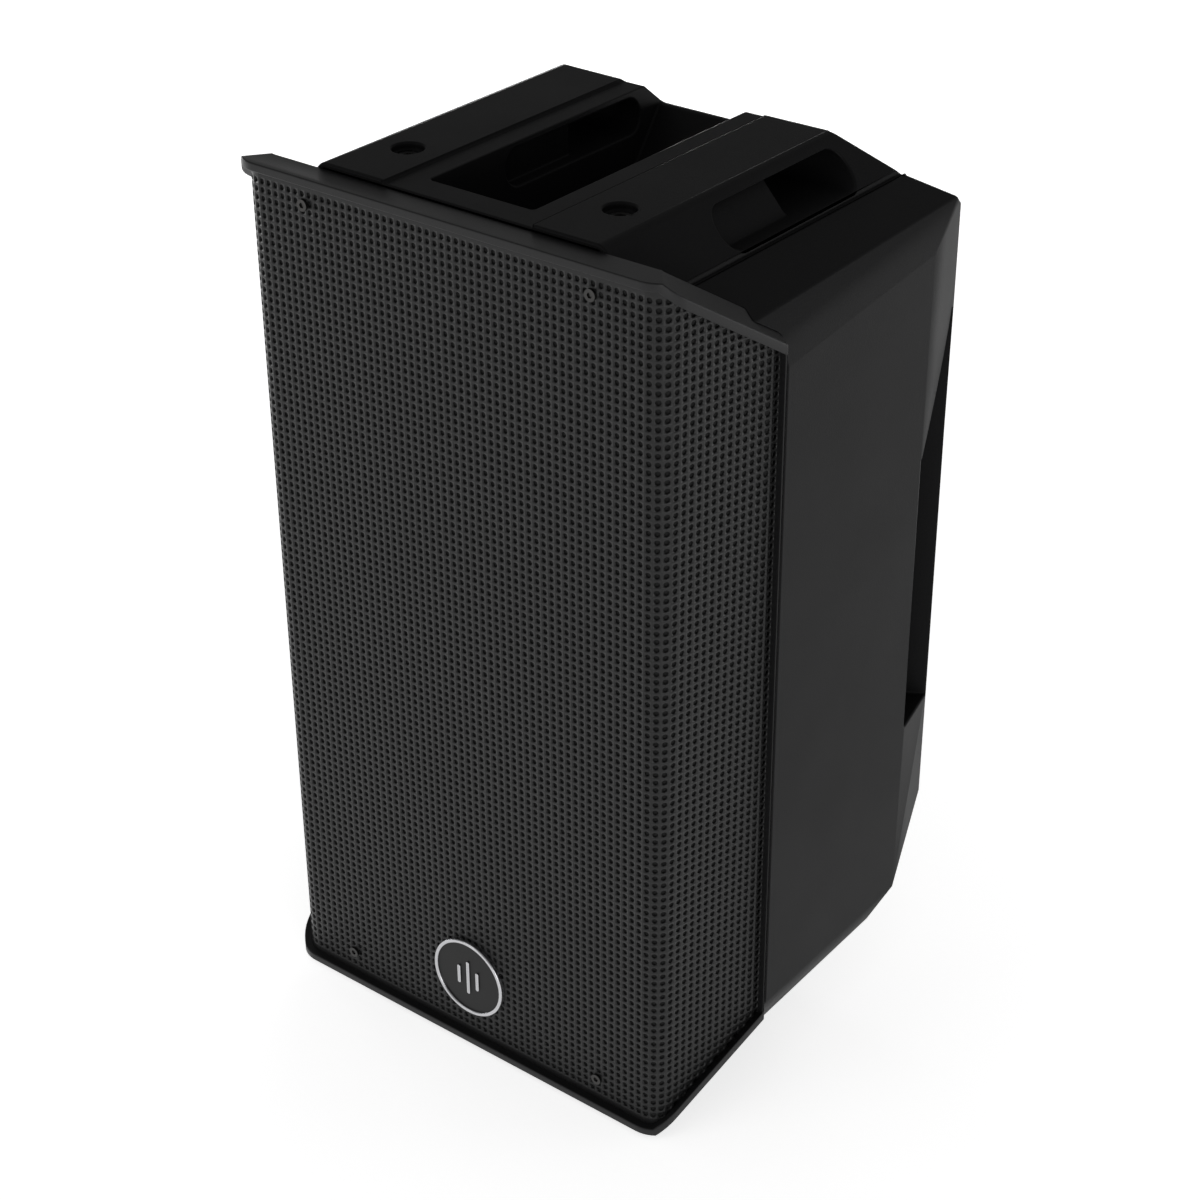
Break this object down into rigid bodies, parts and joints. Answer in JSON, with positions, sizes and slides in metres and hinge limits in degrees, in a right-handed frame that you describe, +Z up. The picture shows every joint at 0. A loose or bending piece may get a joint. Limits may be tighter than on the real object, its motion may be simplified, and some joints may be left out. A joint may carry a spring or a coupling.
{
  "type": "loudspeaker cabinet",
  "caption": "Moulded two-way loudspeaker cabinet with a wrap-round perforated grille, twin ridge handles in its top, a pole socket and a rear amplifier panel.",
  "frame": {"origin": "on the floor, under the middle of the cabinet's bounding box", "axes": "+Z up, -Y out of the front grille, +X to the right as seen from the front"},
  "size_m": [0.3708, 0.34, 0.61],
  "materials": {
    "moulded_plastic": "fine moulded texture, black",
    "grille_paint": "black powder coat",
    "black_steel": "black oxide",
    "badge_metal": "bright, lightly brushed",
    "foam": "open-cell acoustic foam",
    "wadding": "bonded fibre",
    "rubber": "matt",
    "paper_cone": "doped paper",
    "aluminium": "cast or extruded",
    "magnet": "sintered ferrite",
    "zinc_steel": "zinc plated",
    "panel_paint": "textured black",
    "circuit_board": "solder mask",
    "black_gloss": "smooth black",
    "grey_gloss": "smooth grey",
    "contact_brass": "bright",
    "lens_green": "translucent green"
  },
  "bodies": {
    "cabinet": {"amp_board": "circuit_board", "amp_panel": "panel_paint", "badge_plate": "black_gloss", "badge_ring": "badge_metal", "baffle_screws": "black_steel", "board_standoffs": "zinc_steel", "casing_back": "moulded_plastic", "casing_base": "moulded_plastic", "casing_left": "moulded_plastic", "casing_right": "moulded_plastic", "casing_top": "moulded_plastic", "compression_driver": "aluminium", "contact_pins": "contact_brass", "driver_bolts": "zinc_steel", "feet": "rubber", "front_bezel": "moulded_plastic", "grille": "grille_paint", "grille_foam": "foam", "grille_screws": "black_steel", "heatsink": "aluminium", "horn": "moulded_plastic", "input_sockets": "black_gloss", "left_port_tube": "moulded_plastic", "output_socket": "black_gloss", "panel_screws": "black_steel", "pole_screws": "black_steel", "pole_socket": "moulded_plastic", "potentiometers": "zinc_steel", "power_inlet": "black_gloss", "power_supply": "circuit_board", "push_switches": "black_gloss", "rigging_inserts": "zinc_steel", "right_port_tube": "moulded_plastic", "rocker_pin": "zinc_steel", "side_wadding": "wadding", "status_lens": "lens_green", "switch_housing": "black_gloss", "woofer_back_plate": "zinc_steel", "woofer_frame": "aluminium", "woofer_gasket": "rubber", "woofer_magnet": "magnet", "woofer_top_plate": "zinc_steel"},
    "woofer_moving": {"woofer_surround": "rubber", "woofer_cone": "paper_cone", "dust_cap": "paper_cone", "voice_coil": "aluminium", "spider": "paper_cone"},
    "diaphragm": {"driver_diaphragm": "aluminium"},
    "level_1": {"level_knob_1": "black_gloss", "level_shaft_1": "zinc_steel"},
    "level_2": {"level_knob_2": "black_gloss", "level_shaft_2": "zinc_steel"},
    "level_3": {"level_knob_3": "black_gloss", "level_shaft_3": "zinc_steel"},
    "line_1": {"line_button_1": "grey_gloss"},
    "line_2": {"line_button_2": "grey_gloss"},
    "mode": {"mode_button": "grey_gloss"},
    "latch_1": {"latch_tab_1": "zinc_steel"},
    "latch_2": {"latch_tab_2": "zinc_steel"},
    "rocker": {"power_rocker": "black_gloss"}
  },
  "joints": [
    {"name": "woofer_stroke", "type": "slide", "parent": "cabinet", "child": "woofer_moving", "axis": [0, 1, 0], "range_m": [-0.004, 0.004], "stiffness_N_per_m": 3000},
    {"name": "diaphragm_stroke", "type": "slide", "parent": "cabinet", "child": "diaphragm", "axis": [0, 1, 0], "range_m": [-0.0004, 0.0004], "stiffness_N_per_m": 5000},
    {"name": "level_1_turn", "type": "hinge", "parent": "cabinet", "child": "level_1", "pos_m": [-0.066, 0.158, 0.383], "axis": [0, 1, 0], "range_deg": [-150, 150]},
    {"name": "level_2_turn", "type": "hinge", "parent": "cabinet", "child": "level_2", "pos_m": [-0.018, 0.158, 0.383], "axis": [0, 1, 0], "range_deg": [-150, 150]},
    {"name": "level_3_turn", "type": "hinge", "parent": "cabinet", "child": "level_3", "pos_m": [0.062, 0.158, 0.383], "axis": [0, 1, 0], "range_deg": [-150, 150]},
    {"name": "line_1_press", "type": "slide", "parent": "cabinet", "child": "line_1", "axis": [0, -1, 0], "range_m": [0, 0.0016], "stiffness_N_per_m": 500},
    {"name": "line_2_press", "type": "slide", "parent": "cabinet", "child": "line_2", "axis": [0, -1, 0], "range_m": [0, 0.0016], "stiffness_N_per_m": 500},
    {"name": "mode_press", "type": "slide", "parent": "cabinet", "child": "mode", "axis": [0, -1, 0], "range_m": [0, 0.0016], "stiffness_N_per_m": 500},
    {"name": "latch_1_press", "type": "slide", "parent": "cabinet", "child": "latch_1", "axis": [0, -1, 0], "range_m": [0, 0.002], "stiffness_N_per_m": 500},
    {"name": "latch_2_press", "type": "slide", "parent": "cabinet", "child": "latch_2", "axis": [0, -1, 0], "range_m": [0, 0.002], "stiffness_N_per_m": 500},
    {"name": "rocker_tip", "type": "hinge", "parent": "cabinet", "child": "rocker", "pos_m": [0.062, 0.149, 0.287], "axis": [1, 0, 0], "range_deg": [-12, 0]}
  ]
}
